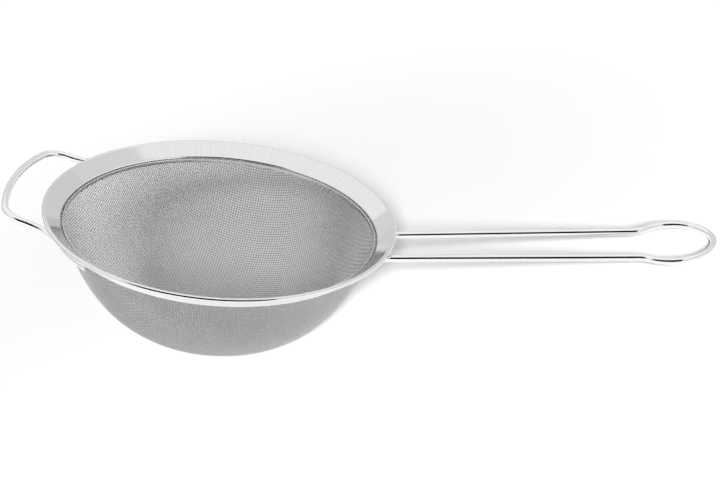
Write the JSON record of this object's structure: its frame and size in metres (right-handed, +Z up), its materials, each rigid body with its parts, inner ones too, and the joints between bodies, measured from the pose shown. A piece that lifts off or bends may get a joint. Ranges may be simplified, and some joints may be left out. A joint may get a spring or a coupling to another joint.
{
  "type": "kitchen sieve",
  "caption": "Round stainless steel kitchen sieve: a woven wire bowl clamped in a flared rim with a rolled edge, a long bent-wire handle with a hanging eye, and a front rest loop.",
  "frame": {"origin": "the point where the bottom of the bowl touches the table, when the sieve lies at rest on its bowl and the tip of its handle", "axes": "+Z up from the table, +X horizontally from the front loop towards the handle's hanging eye, +Y to the left of someone who looks along +X; the rim's own axis leans 21.93 degrees from +Z towards +X"},
  "size_m": [0.3778, 0.2, 0.1288],
  "materials": {
    "rim_steel": "polished, faint radial streaks",
    "ring_steel": "satin",
    "woven_wire": "bright drawn wire, plain weave",
    "wire_steel": "polished",
    "weld_metal": "dull, as welded"
  },
  "bodies": {
    "root": {"rim_flange": "rim_steel", "clamp_ring": "ring_steel", "mesh_bowl": "woven_wire", "handle_wire": "wire_steel", "front_loop": "wire_steel", "handle_weld_left": "weld_metal", "handle_weld_right": "weld_metal", "loop_weld_left": "weld_metal", "loop_weld_right": "weld_metal"}
  },
  "joints": []
}
